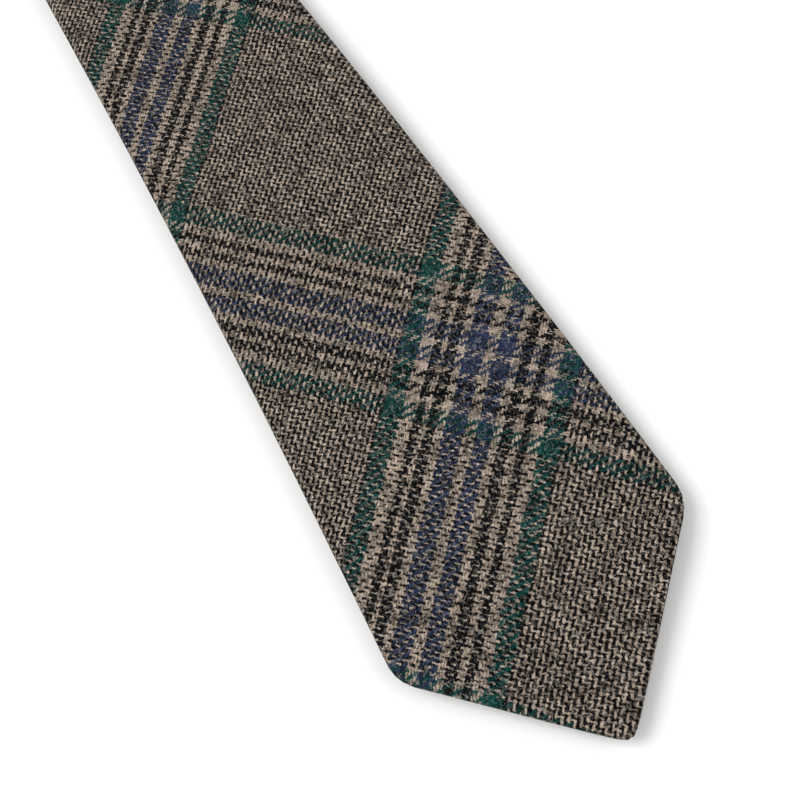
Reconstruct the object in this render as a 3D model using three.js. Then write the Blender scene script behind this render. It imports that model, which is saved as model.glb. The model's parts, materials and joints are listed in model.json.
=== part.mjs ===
// A lined wool necktie laid doubled at the neck, with the front blade on top and the tail under it.
// Millimetres, +Z up. The tie runs along Y with its front tip at -Y and the neck fold at +Y.
import * as THREE from "three";

// Lengths along the tie at half thickness, from the front tip unless they say otherwise.
const TIE_LENGTH = 1480;
const TAIL_INSET = 40; // how far the tail's tip stops short of the front tip
const FRONT_TAPER_END = 575;
const TAIL_TAPER_LENGTH = 420; // from the tail tip
const FRONT_SEAM = 615; // bias seam between the front blade and the neck piece
const TAIL_SEAM_LENGTH = 495; // bias seam between the tail and the neck piece, from the tail tip
const PACKING_FOLD = 370; // crease across the front blade, matched by one in the tail below it

// Widths across the tie.
const BLADE_WIDTH = 80;
const NECK_WIDTH = 32;
const TAIL_WIDTH = 42;
const TIP_FLAT = 3; // width at which a pointed end is turned in
const BIAS_SLOPE = 1; // the cloth is cut at 45 degrees

// Cloth thicknesses and clearances.
const SHELL_CLOTH = 0.8;
const INTERLINING_CLOTH = 0.9;
const TIPPING_CLOTH = 0.3;
const PLY_GAP = 0.25; // between two layers of cloth
const CUT_GAP = 0.4; // between two pieces that meet edge to edge
const STITCH_EASE = 0.45; // from the slip stitch to the back flap on each side of it

// Back of the tie.
const HEM_WIDTH = 9; // cloth turned in along a pointed end
const FRONT_VEE = 125; // front tip to the point where the back flaps meet
const TAIL_VEE = 62;
const FRONT_TIPPING = 165; // length of the lining behind the front tip
const TAIL_TIPPING = 95;
const KEEPER_PLACE = 215; // front tip to the middle of the keeper loop
const KEEPER_SPAN = 54;
const KEEPER_DEPTH = 14;
const KEEPER_CLOTH = 1.3;
const TACK_WIDTH = 1.6;
const TACK_LENGTH = 9;
const TACK_CLOTH = 0.5;
const THREAD = 0.5;

// Worked out from the sizes above.
const TAIL_SEAM = TIE_LENGTH - TAIL_SEAM_LENGTH;
const TAIL_TAPER_START = TIE_LENGTH - TAIL_TAPER_LENGTH;
const SEAM_GAP = THREAD + 2 * STITCH_EASE; // between the two back flaps
const THICKNESS = 2 * SHELL_CLOTH + INTERLINING_CLOTH + TIPPING_CLOTH + 3 * PLY_GAP;
const LAYER_GAP = KEEPER_CLOTH + 2 * PLY_GAP;
const BEND_LENGTH = (Math.PI * (LAYER_GAP + THICKNESS)) / 2;
const FRONT_RUN = (TIE_LENGTH - BEND_LENGTH + TAIL_INSET) / 2;
const FOLD_REACH = LAYER_GAP / 2 + THICKNESS;
const Y_CENTRE = (TIP_FLAT / 2 + FRONT_RUN + FOLD_REACH) / 2;
const MID_Z = THICKNESS + LAYER_GAP / 2;
const APEX = FRONT_RUN + BEND_LENGTH / 2;
const TAIL_PACKING_FOLD = 2 * FRONT_RUN + BEND_LENGTH - PACKING_FOLD;

const BEND_STEPS = 8;
const EDGE_STEPS = 6;
const LEAST_STEP = 0.2; // two stations are never nearer than this

// Near a point the folded cloth is too narrow for its full edge, so these shares of the width hold.
const EDGE_SHARE = 0.8;
const INSIDE_EDGE_SHARE = 0.1;
const OPENING_SHARE = 0.2;

// A point of the tie: s along it, x across it, h from its back face towards its front face.
function place(s, x, h) {
  if (s <= FRONT_RUN) {
    return new THREE.Vector3(x, s - Y_CENTRE, THICKNESS + LAYER_GAP + h);
  }
  if (s >= FRONT_RUN + BEND_LENGTH) {
    return new THREE.Vector3(x, 2 * FRONT_RUN + BEND_LENGTH - s - Y_CENTRE, THICKNESS - h);
  }
  const turn = (Math.PI * (s - FRONT_RUN)) / BEND_LENGTH;
  const radius = LAYER_GAP / 2 + h;
  const y = FRONT_RUN - Y_CENTRE + radius * Math.sin(turn);
  return new THREE.Vector3(x, y, MID_Z + radius * Math.cos(turn));
}

// Half the width of the finished tie at a distance s from the front tip.
function halfWidth(s) {
  const blade = THREE.MathUtils.mapLinear(
    s, BLADE_WIDTH / 2, FRONT_TAPER_END, BLADE_WIDTH / 2, NECK_WIDTH / 2);
  const tail = THREE.MathUtils.mapLinear(
    s, TAIL_TAPER_START, TIE_LENGTH - TAIL_WIDTH / 2, NECK_WIDTH / 2, TAIL_WIDTH / 2);
  const body = s < APEX ? Math.max(blade, NECK_WIDTH / 2) : Math.max(tail, NECK_WIDTH / 2);
  return Math.min(s, TIE_LENGTH - s, body);
}

// Half the opening between the back flaps: a seam along the neck, an inverted vee behind each tip.
function halfOpening(s) {
  const hem = HEM_WIDTH * Math.SQRT2;
  const near = s < APEX
    ? { end: s, corner: BLADE_WIDTH / 2, vee: FRONT_VEE }
    : { end: TIE_LENGTH - s, corner: TAIL_WIDTH / 2, vee: TAIL_VEE };
  const seam = SEAM_GAP / 2;
  const tipSide = near.end - hem;
  const veeSide = THREE.MathUtils.mapLinear(near.end, near.corner, near.vee, near.corner - hem, seam);
  const narrow = Math.min(seam, OPENING_SHARE * near.end);
  return Math.max(narrow, Math.min(tipSide, veeSide));
}

// Places along the tie where a cloth piece changes shape.
const BREAKS = [
  HEM_WIDTH * Math.SQRT2, BLADE_WIDTH / 4, BLADE_WIDTH / 2, FRONT_VEE, FRONT_TAPER_END,
  TAIL_TAPER_START, TIE_LENGTH - TAIL_VEE, TIE_LENGTH - TAIL_WIDTH / 2,
  TIE_LENGTH - HEM_WIDTH * Math.SQRT2,
];
for (let i = 0; i <= BEND_STEPS; i += 1) {
  BREAKS.push(FRONT_RUN + (BEND_LENGTH * i) / BEND_STEPS);
}
BREAKS.sort((a, b) => a - b);

function stationsBetween(from, to, clearStart = LEAST_STEP, clearEnd = LEAST_STEP) {
  const inside = BREAKS.filter((s) => s > from + clearStart && s < to - clearEnd);
  return [from, ...inside, to];
}

// A closed solid between two matching rows of points, the face and the back, at each station.
function sheetSolid(rows) {
  const count = rows[0].face.length;
  const positions = [];
  for (const row of rows) {
    for (const p of [...row.face, ...row.back]) positions.push(p.x, p.y, p.z);
  }
  const at = (row, i, back) => row * 2 * count + (back ? count : 0) + i;
  const index = [];
  const quad = (a, b, c, d) => index.push(a, b, c, a, c, d);
  const last = rows.length - 1;
  for (let row = 0; row < last; row += 1) {
    for (let i = 0; i < count - 1; i += 1) {
      quad(at(row, i), at(row + 1, i), at(row + 1, i + 1), at(row, i + 1));
      quad(at(row, i, true), at(row, i + 1, true), at(row + 1, i + 1, true), at(row + 1, i, true));
    }
    quad(at(row, 0), at(row, 0, true), at(row + 1, 0, true), at(row + 1, 0));
    const end = count - 1;
    quad(at(row, end), at(row + 1, end), at(row + 1, end, true), at(row, end, true));
  }
  for (let i = 0; i < count - 1; i += 1) {
    quad(at(0, i), at(0, i + 1), at(0, i + 1, true), at(0, i, true));
    quad(at(last, i), at(last, i, true), at(last, i + 1, true), at(last, i + 1));
  }
  const geometry = new THREE.BufferGeometry();
  geometry.setAttribute("position", new THREE.Float32BufferAttribute(positions, 3));
  geometry.setIndex(index);
  geometry.computeVertexNormals();
  return geometry;
}

// The folded shell cloth at one station: [x, h] from one flap's edge, round the front, to the other's.
// depth is 0 on the outside of the cloth and its thickness on the inside.
function shellSection(s, depth) {
  const outer = halfWidth(s);
  const round = Math.min(THICKNESS / 2, EDGE_SHARE * outer);
  const roundX = Math.max(round - depth, INSIDE_EDGE_SHARE * round);
  const roundH = THICKNESS / 2 - depth;
  const centre = outer - round;
  const side = [[halfOpening(s), depth]];
  for (let i = 0; i <= EDGE_STEPS; i += 1) {
    const angle = -Math.PI / 2 + (Math.PI * i) / EDGE_STEPS;
    side.push([centre + roundX * Math.cos(angle), THICKNESS / 2 + roundH * Math.sin(angle)]);
  }
  const other = side.map(([x, h]) => [-x, h]).reverse();
  return [...side, ...other];
}

// A length of shell cloth. A seamed end is cut on the bias.
function shell(from, to, { seamStart = false, seamEnd = false } = {}) {
  const slant = BIAS_SLOPE * NECK_WIDTH; // clears the slanted end
  const stations = stationsBetween(
    from, to, seamStart ? slant : LEAST_STEP, seamEnd ? slant : LEAST_STEP);
  return sheetSolid(stations.map((s) => {
    const seamed = (seamStart && s === from) || (seamEnd && s === to);
    const slope = seamed ? BIAS_SLOPE : 0;
    const row = (depth) => shellSection(s, depth).map(([x, h]) => place(s + slope * x, x, h));
    return { face: row(0), back: row(SHELL_CLOTH) };
  }));
}

// A flat ply between two heights, as wide as half(s) on each side.
function ply(from, to, half, low, high) {
  return sheetSolid(stationsBetween(from, to).map((s) => {
    const across = [half(s), -half(s)];
    return {
      face: across.map((x) => place(s, x, high)),
      back: across.map((x) => place(s, x, low)),
    };
  }));
}

// A straight bar of thread along a bias seam, across the front of the cloth.
function biasThread(s, half, low) {
  return sheetSolid([half, -half].map((x) => {
    const middle = s + BIAS_SLOPE * x;
    const along = [middle + THREAD / 2, middle - THREAD / 2];
    return {
      face: along.map((d) => place(d, x, low + THREAD)),
      back: along.map((d) => place(d, x, low)),
    };
  }));
}

function cloth(colour, roughness) {
  return () => new THREE.MeshStandardMaterial({ color: colour, roughness, metalness: 0 });
}
const wool = cloth(0x6b5c4a, 0.95);
const canvas = cloth(0xd8d0bf, 0.95);
const lining = cloth(0x2c2a28, 0.55);
const thread = cloth(0x2b241d, 0.7);

const tie = new THREE.Group();
function add(name, geometry, material) {
  const mesh = new THREE.Mesh(geometry, material());
  mesh.name = name;
  tie.add(mesh);
}

const frontTip = TIP_FLAT / 2;
const tailTip = TIE_LENGTH - TIP_FLAT / 2;
const halfCut = CUT_GAP / 2;
const halfSeam = THREAD / 2 + PLY_GAP * Math.SQRT2; // a bias seam is wider along the tie

// Shell: front blade, neck piece and tail, each lying on both sides of one fold.
add("front_blade_shell", shell(frontTip, PACKING_FOLD - halfCut), wool);
add("front_upper_shell",
  shell(PACKING_FOLD + halfCut, FRONT_SEAM - halfSeam, { seamEnd: true }), wool);
add("neck_shell_front",
  shell(FRONT_SEAM + halfSeam, APEX - halfCut, { seamStart: true }), wool);
add("neck_shell_tail", shell(APEX + halfCut, TAIL_SEAM - halfSeam, { seamEnd: true }), wool);
add("tail_upper_shell",
  shell(TAIL_SEAM + halfSeam, TAIL_PACKING_FOLD - halfCut, { seamStart: true }), wool);
add("tail_blade_shell", shell(TAIL_PACKING_FOLD + halfCut, tailTip), wool);

// Interlining, inside the shell and against its front.
const pointInset = (SHELL_CLOTH + PLY_GAP) * Math.SQRT2;
const insideHalf = (s) => halfWidth(s) - pointInset - THICKNESS / 4;
const interliningLow = SHELL_CLOTH + TIPPING_CLOTH + 2 * PLY_GAP;
const interliningHigh = interliningLow + INTERLINING_CLOTH;
const tipClear = pointInset + THICKNESS / 2;
const interliningRuns = {
  interlining_front: [tipClear, PACKING_FOLD - halfCut],
  interlining_front_upper: [PACKING_FOLD + halfCut, APEX - halfCut],
  interlining_tail_upper: [APEX + halfCut, TAIL_PACKING_FOLD - halfCut],
  interlining_tail: [TAIL_PACKING_FOLD + halfCut, TIE_LENGTH - tipClear],
};
for (const [name, [from, to]] of Object.entries(interliningRuns)) {
  add(name, ply(from, to, insideHalf, interliningLow, interliningHigh), canvas);
}

// Tippings, the lining seen in the vee behind each tip.
const tippingLow = SHELL_CLOTH + PLY_GAP;
const tippingHigh = tippingLow + TIPPING_CLOTH;
add("front_tipping", ply(tipClear, FRONT_TIPPING, insideHalf, tippingLow, tippingHigh), lining);
add("tail_tipping",
  ply(TIE_LENGTH - TAIL_TIPPING, TIE_LENGTH - tipClear, insideHalf, tippingLow, tippingHigh), lining);

// Slip stitch that closes the back flaps, one thread for each length between folds.
const stitchRuns = {
  slip_stitch_front: [FRONT_VEE + TACK_WIDTH, PACKING_FOLD - halfCut],
  slip_stitch_front_upper: [PACKING_FOLD + halfCut, APEX - halfCut],
  slip_stitch_tail_upper: [APEX + halfCut, TAIL_PACKING_FOLD - halfCut],
  slip_stitch_tail: [TAIL_PACKING_FOLD + halfCut, TIE_LENGTH - TAIL_VEE - TACK_WIDTH],
};
const stitchLow = (SHELL_CLOTH - THREAD) / 2;
for (const [name, [from, to]] of Object.entries(stitchRuns)) {
  add(name, ply(from, to, () => THREAD / 2, stitchLow, stitchLow + THREAD), thread);
}

// Bias seams that join the shell pieces, across the front of the cloth.
const seamHalf = NECK_WIDTH / 2 - THICKNESS / 2;
const seamLow = THICKNESS - (SHELL_CLOTH + THREAD) / 2;
add("front_bias_seam", biasThread(FRONT_SEAM, seamHalf, seamLow), thread);
add("tail_bias_seam", biasThread(TAIL_SEAM, seamHalf, seamLow), thread);

// Bar tacks across the point of each vee.
const tackHigh = -PLY_GAP;
const tackLow = tackHigh - TACK_CLOTH;
const tackHalf = () => TACK_LENGTH / 2;
const tailTack = TIE_LENGTH - TAIL_VEE;
add("front_bar_tack",
  ply(FRONT_VEE - TACK_WIDTH / 2, FRONT_VEE + TACK_WIDTH / 2, tackHalf, tackLow, tackHigh), thread);
add("tail_bar_tack",
  ply(tailTack - TACK_WIDTH / 2, tailTack + TACK_WIDTH / 2, tackHalf, tackLow, tackHigh), thread);

// Keeper loop of shell cloth behind the front blade, and the tack at each of its ends.
const keeperHigh = -PLY_GAP;
const keeperFrom = KEEPER_PLACE - KEEPER_DEPTH / 2;
const keeperTo = KEEPER_PLACE + KEEPER_DEPTH / 2;
const keeperHalf = () => KEEPER_SPAN / 2;
add("keeper_loop",
  ply(keeperFrom, keeperTo, keeperHalf, keeperHigh - KEEPER_CLOTH, keeperHigh), wool);
for (const [side, sign] of Object.entries({ left: -1, right: 1 })) {
  const near = sign * (KEEPER_SPAN / 2 + PLY_GAP);
  const far = near + sign * TACK_WIDTH;
  const across = [Math.max(near, far), Math.min(near, far)];
  const rows = [keeperFrom, keeperTo].map((s) => ({
    face: across.map((x) => place(s, x, tackHigh)),
    back: across.map((x) => place(s, x, tackLow)),
  }));
  add(`keeper_tack_${side}`, sheetSolid(rows), thread);
}

export default tie;
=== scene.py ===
"""The looks of a lined woollen necktie that lies doubled at the neck.

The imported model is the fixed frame: every place and size is worked out from its boxes and joints. The cloth
is thin closed sheets that fold round to the back, each in its own thread coordinates, so the check runs true
over the rolled edges. All lengths are metres.
"""

import json
import logging
import math
from dataclasses import dataclass, field
from enum import Enum
from typing import Callable, Iterable, Sequence, Union

import bpy
import numpy as np
from mathutils import Matrix, Vector


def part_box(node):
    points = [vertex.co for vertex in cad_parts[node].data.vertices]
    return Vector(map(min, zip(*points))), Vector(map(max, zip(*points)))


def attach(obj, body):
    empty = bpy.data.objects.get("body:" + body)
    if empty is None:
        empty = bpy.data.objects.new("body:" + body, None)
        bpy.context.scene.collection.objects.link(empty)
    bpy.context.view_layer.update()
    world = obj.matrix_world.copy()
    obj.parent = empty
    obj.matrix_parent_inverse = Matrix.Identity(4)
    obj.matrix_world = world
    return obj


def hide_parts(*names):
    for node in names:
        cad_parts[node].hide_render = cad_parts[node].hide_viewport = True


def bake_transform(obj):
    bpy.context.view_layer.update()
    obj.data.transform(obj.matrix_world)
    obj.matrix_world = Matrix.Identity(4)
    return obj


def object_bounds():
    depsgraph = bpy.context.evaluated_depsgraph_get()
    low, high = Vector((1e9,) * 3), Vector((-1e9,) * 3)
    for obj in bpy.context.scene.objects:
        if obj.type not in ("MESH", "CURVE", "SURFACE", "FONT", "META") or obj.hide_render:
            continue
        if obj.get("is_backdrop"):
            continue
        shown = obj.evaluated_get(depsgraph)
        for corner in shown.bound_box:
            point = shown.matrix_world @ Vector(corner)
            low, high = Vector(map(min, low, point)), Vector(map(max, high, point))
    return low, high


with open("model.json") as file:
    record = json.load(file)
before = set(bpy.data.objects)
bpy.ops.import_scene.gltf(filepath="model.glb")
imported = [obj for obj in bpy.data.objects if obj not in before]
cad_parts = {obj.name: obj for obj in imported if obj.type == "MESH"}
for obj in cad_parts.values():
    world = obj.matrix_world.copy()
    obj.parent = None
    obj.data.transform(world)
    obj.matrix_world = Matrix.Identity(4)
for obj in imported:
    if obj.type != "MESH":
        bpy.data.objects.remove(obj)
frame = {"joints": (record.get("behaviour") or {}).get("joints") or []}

LOG = logging.getLogger("necktie")
THREAD_MAP = "threads"  # the map that holds each point's place in the flat cloth
MM = 0.001
SEAM_HALF = 0.15 * MM  # half the gap between two cuts at a bias seam
Colour = tuple[float, float, float]
Socket = bpy.types.NodeSocket
Feed = Union[Socket, float, Sequence[float], None]


# --- node building ---


class NodeBench:
    """Adds shader nodes to one tree and links them."""

    def __init__(self, tree: bpy.types.NodeTree) -> None:
        """Starts work on a tree.

        Args:
            tree: the node tree of a material or of a group.
        """
        self.tree = tree

    def add(self, kind: str, **settings: object) -> bpy.types.Node:
        """Adds a node.

        Args:
            kind: the node's type name, without its "ShaderNode" start.
            settings: the node's own properties.

        Returns:
            The new node.
        """
        node = self.tree.nodes.new("ShaderNode" + kind)
        for name, value in settings.items():
            setattr(node, name, value)
        return node

    def feed(self, socket: Socket, value: Feed) -> None:
        """Links a socket to another, or sets its own value.

        Args:
            socket: the input to fill.
            value: an output socket to link, a value to set, or None to leave it alone.
        """
        if value is None:
            return
        if isinstance(value, bpy.types.NodeSocket):
            self.tree.links.new(value, socket)
        else:
            socket.default_value = value

    def fill(self, node: bpy.types.Node, values: dict[str, Feed]) -> None:
        """Feeds a node's inputs by name."""
        for name, value in values.items():
            self.feed(node.inputs[name], value)

    def work(self, kind: str, *values: Feed, **settings: object) -> Socket:
        """Adds a node and feeds its inputs in order.

        Args:
            kind: the node's type name, without its "ShaderNode" start.
            values: its inputs, in order.
            settings: the node's own properties.

        Returns:
            Its first output.
        """
        node = self.add(kind, **settings)
        for socket, value in zip(node.inputs, values):
            self.feed(socket, value)
        return node.outputs[0]

    def math(self, operation: str, *values: Feed) -> Socket:
        """Works out one number from others, given in order."""
        return self.work("Math", *values, operation=operation)

    def vector_math(self, operation: str, *values: Feed) -> Socket:
        """Works out one vector from others, given in order."""
        return self.work("VectorMath", *values, operation=operation)

    def scaled(self, vector: Feed, size: Feed) -> Socket:
        """A vector made longer or shorter."""
        return self.vector_math("SCALE", vector, None, None, size)

    def join(self, x: Feed, y: Feed, z: Feed) -> Socket:
        """Joins three numbers into a vector."""
        return self.work("CombineXYZ", x, y, z)

    def split(self, vector: Socket) -> tuple[Socket, ...]:
        """Splits a vector into its three numbers."""
        return tuple(self.work("SeparateXYZ", vector).node.outputs)

    def noise(self, place: Socket, scale: float, detail: float = 2.0, rough: float = 0.5) -> bpy.types.Node:
        """Adds a noise texture.

        Args:
            place: where it is read.
            scale: how many bumps it has in a unit of place.
            detail: how many finer layers it has.
            rough: how strong the finer layers are.

        Returns:
            The node, with outputs Fac and Color.
        """
        node = self.add("TexNoise")
        self.fill(node, {"Vector": place, "Scale": scale, "Detail": detail, "Roughness": rough})
        return node

    def spread(self, value: Socket, low: float, high: float, start: float = 0.0, end: float = 1.0) -> Socket:
        """Maps the range from low to high to that from start to end, and holds it there."""
        return self.work("MapRange", value, low, high, start, end, clamp=True)

    def dim(self, colour: Socket, share: Socket) -> Socket:
        """A colour made darker or lighter."""
        return self.mix(1.0, colour, self.join(share, share, share), "MULTIPLY")

    def mix(self, share: Feed, first: Feed, second: Feed, blend: str = "MIX") -> Socket:
        """Mixes two colours.

        Args:
            share: how much of the second colour shows.
            first: the first colour.
            second: the second colour.
            blend: the way that they mix.

        Returns:
            The mixed colour's socket.
        """
        node = self.add("Mix", data_type="RGBA", blend_type=blend)
        for socket, value in zip((node.inputs[0], node.inputs[6], node.inputs[7]), (share, first, second)):
            if isinstance(value, tuple) and len(value) == 3:
                value = (*value, 1.0)
            self.feed(socket, value)
        return node.outputs[2]

    def ramp(self, value: Socket, stops: Iterable[tuple[float, tuple]]) -> bpy.types.Node:
        """Adds a ramp of plain steps.

        Args:
            value: the number that picks the step.
            stops: each step's start and its colour with alpha.

        Returns:
            The node, with outputs Color and Alpha.
        """
        node = self.add("ValToRGB")
        node.color_ramp.interpolation = "CONSTANT"
        elements = node.color_ramp.elements
        for count, (start, colour) in enumerate(stops):
            step = elements[count] if count < 2 else elements.new(start)
            step.position = start
            step.color = colour
        self.feed(node.inputs[0], value)
        return node

    def place_group(self, group: bpy.types.NodeTree, **values: Feed) -> bpy.types.Node:
        """Places a node group.

        Args:
            group: the group's tree.
            values: its inputs by name, with _ for a space.

        Returns:
            The group's node.
        """
        node = self.add("Group")
        node.node_tree = group
        for name, value in values.items():
            self.feed(node.inputs[name.replace("_", " ").title()], value)
        return node

    def wander(self, start: Socket, place: Socket, scale: float, reach: float, detail: float = 2.0,
               rough: float = 0.5) -> Socket:
        """Moves a place about at random.

        Args:
            start: the place that moves.
            place: where the noise is read.
            scale: how many bumps the noise has in a unit of place.
            reach: how far a full step of the noise moves it.
            detail: how many finer layers the noise has.
            rough: how strong the finer layers are.

        Returns:
            The moved place.
        """
        colour = self.noise(place, scale, detail, rough).outputs["Color"]
        centred = self.vector_math("SUBTRACT", colour, (0.5, 0.5, 0.5))
        return self.vector_math("ADD", start, self.scaled(centred, reach))

    def bump(self, height: Socket, strength: float, distance: float, normal: Feed = None) -> Socket:
        """Turns a height into a normal.

        Args:
            height: the height, from 0 to 1.
            strength: how much of it is used.
            distance: the depth in metres of a height of 1.
            normal: the normal that it adds to.

        Returns:
            The normal's socket.
        """
        node = self.add("Bump")
        self.fill(node, {"Strength": strength, "Distance": distance, "Height": height, "Normal": normal})
        return node.outputs[0]


class GroupBuilder:
    """Starts a shader node group with named inputs and outputs."""

    def __init__(self, name: str, inputs: dict[str, str], outputs: dict[str, str]) -> None:
        """Makes the group and its two ends.

        Args:
            name: the group's name.
            inputs: each input's name and socket type.
            outputs: each output's name and socket type.
        """
        self.tree = bpy.data.node_groups.new(name, "ShaderNodeTree")
        for direction, sockets in (("INPUT", inputs), ("OUTPUT", outputs)):
            for label, kind in sockets.items():
                self.tree.interface.new_socket(label, in_out=direction, socket_type="NodeSocket" + kind)
        self.bench = NodeBench(self.tree)
        self.given = self.tree.nodes.new("NodeGroupInput").outputs
        self.result = self.tree.nodes.new("NodeGroupOutput").inputs

    def put(self, **results: Socket) -> bpy.types.NodeTree:
        """Links the outputs, named with _ for a space, and returns the finished group."""
        for name, socket in results.items():
            self.bench.feed(self.result[name.replace("_", " ").title()], socket)
        return self.tree


def weave_group() -> bpy.types.NodeTree:
    """Two and two twill: which yarn is on top at a point, and how high it stands.

    Returns:
        A group that reads places counted in yarns, and puts out the upper yarn and the height.
    """
    made = GroupBuilder(
        "Twill weave",
        {"Warp Place": "Float", "Weft Place": "Float", "Warp Cover": "Float"},
        {"Warp Up": "Float", "Warp Yarn": "Float", "Weft Yarn": "Float", "Height": "Float"},
    )
    bench, given = made.bench, made.given
    warp, weft, cover = given["Warp Place"], given["Weft Place"], given["Warp Cover"]
    warp_yarn = bench.math("FLOOR", warp)
    weft_yarn = bench.math("FLOOR", weft)
    step = bench.math("FLOORED_MODULO", bench.math("SUBTRACT", warp_yarn, weft), 4.0)
    share = bench.math("DIVIDE", step, 4.0)
    warp_up = bench.math("LESS_THAN", share, cover)

    def crown(value: Socket) -> Socket:
        """A round hump over each whole step of value."""
        across = bench.math("MULTIPLY_ADD", bench.math("FRACT", value), 2.0, -1.0)
        return bench.math("SUBTRACT", 1.0, bench.math("MULTIPLY", across, across))

    float_end = crown(bench.math("DIVIDE", share, cover))
    warp_height = bench.math("MULTIPLY", crown(warp), bench.math("POWER", float_end, 0.4))
    weft_height = bench.math("MULTIPLY", crown(weft), 0.72)
    height = bench.work("Mix", warp_up, None, weft_height, warp_height, data_type="FLOAT")
    return made.put(warp_up=warp_up, warp_yarn=warp_yarn, weft_yarn=weft_yarn, height=height)


def stray_fibre_group() -> bpy.types.NodeTree:
    """Fine curled fibres that lie over a brushed cloth.

    Returns:
        A group that reads a place in metres and a spacing, and puts out a mask of the fibres.
    """
    made = GroupBuilder(
        "Stray fibres",
        {"Place": "Vector", "Spacing": "Float", "Width": "Float", "Share": "Float"},
        {"Fibres": "Float"},
    )
    bench, given = made.bench, made.given
    scaled = bench.scaled(given["Place"], bench.math("DIVIDE", 1.0, given["Spacing"]))
    curled = bench.wander(scaled, scaled, 0.9, 1.6)
    lines = bench.add("TexVoronoi", feature="DISTANCE_TO_EDGE")
    bench.fill(lines, {"Vector": curled, "Scale": 1.0})
    line = bench.math("LESS_THAN", lines.outputs["Distance"], given["Width"])
    broken = bench.noise(scaled, 1.7, 1.0)
    kept = bench.math("LESS_THAN", broken.outputs["Fac"], given["Share"])
    return made.put(fibres=bench.math("MULTIPLY", line, kept))


def melange_group() -> bpy.types.NodeTree:
    """Uneven dye and nap in a spun yarn.

    Returns:
        A group that reads a place in metres and a yarn's number, and puts out its shade and the nap.
    """
    made = GroupBuilder(
        "Yarn melange",
        {"Place": "Vector", "Yarn": "Float"},
        {"Shade": "Float", "Nap": "Float"},
    )
    bench, given = made.bench, made.given
    fleck = bench.noise(given["Place"], 2400.0, 3.0, 0.65)
    slub = bench.noise(given["Place"], 210.0, 4.0, 0.65)
    own = bench.work("TexWhiteNoise", None, given["Yarn"], noise_dimensions="1D")
    shade = bench.math("MULTIPLY", fleck.outputs["Fac"], 0.4)
    shade = bench.math("MULTIPLY_ADD", slub.outputs["Fac"], 0.45, shade)
    shade = bench.math("MULTIPLY_ADD", own, 0.15, shade)
    nap = bench.noise(given["Place"], 1900.0, 4.0, 0.7)
    return made.put(shade=shade, nap=nap.outputs["Fac"])


@dataclass
class EffectKit:
    """The shader node groups that the finishes share, built once."""

    weave: bpy.types.NodeTree = field(default_factory=weave_group)
    stray_fibres: bpy.types.NodeTree = field(default_factory=stray_fibre_group)
    melange: bpy.types.NodeTree = field(default_factory=melange_group)


# --- finishes ---


class Yarn(Enum):
    """The dyed yarns of the check. GROUND stands for tan and black yarns laid one and one."""

    TAN = "tan"
    BLACK = "black"
    BLUE = "blue"
    GREEN = "green"
    GROUND = "ground"


# The coloured band of the check: yarns of each dye, in order from one green line to the next.
BAND: tuple[tuple[Yarn, int], ...] = (
    (Yarn.GREEN, 7), (Yarn.TAN, 4), (Yarn.BLACK, 4), (Yarn.TAN, 2), (Yarn.BLACK, 4), (Yarn.TAN, 3),
    (Yarn.BLUE, 7), (Yarn.TAN, 3), (Yarn.BLUE, 7),
    (Yarn.TAN, 3), (Yarn.BLACK, 4), (Yarn.TAN, 2), (Yarn.BLACK, 4), (Yarn.TAN, 4), (Yarn.GREEN, 7),
)


def start_material(name: str) -> tuple[bpy.types.Material, NodeBench, bpy.types.Node, Socket]:
    """Makes a material with a Principled shader and its place in the flat cloth.

    Args:
        name: the material's name.

    Returns:
        The material, its bench, the shader and the place in metres.
    """
    material = bpy.data.materials.new(name)
    material.use_nodes = True
    bench = NodeBench(material.node_tree)
    shader = material.node_tree.nodes["Principled BSDF"]
    place = bench.add("UVMap", uv_map=THREAD_MAP).outputs[0]
    return material, bench, shader, place


def lay_weave(bench: NodeBench, kit: EffectKit, place: Socket, warp_pitch: float, weft_pitch: float,
              cover: float) -> bpy.types.Node:
    """Places the twill in a material.

    Args:
        bench: where the nodes go.
        kit: the shared effects.
        place: the place in metres.
        warp_pitch: from one warp yarn to the next, in metres.
        weft_pitch: the same for the weft.
        cover: how much of each float is warp.

    Returns:
        The twill's node.
    """
    across, along, _ = bench.split(place)
    return bench.place_group(
        kit.weave,
        warp_place=bench.math("DIVIDE", across, warp_pitch),
        weft_place=bench.math("DIVIDE", along, weft_pitch),
        warp_cover=cover,
    )


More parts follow.
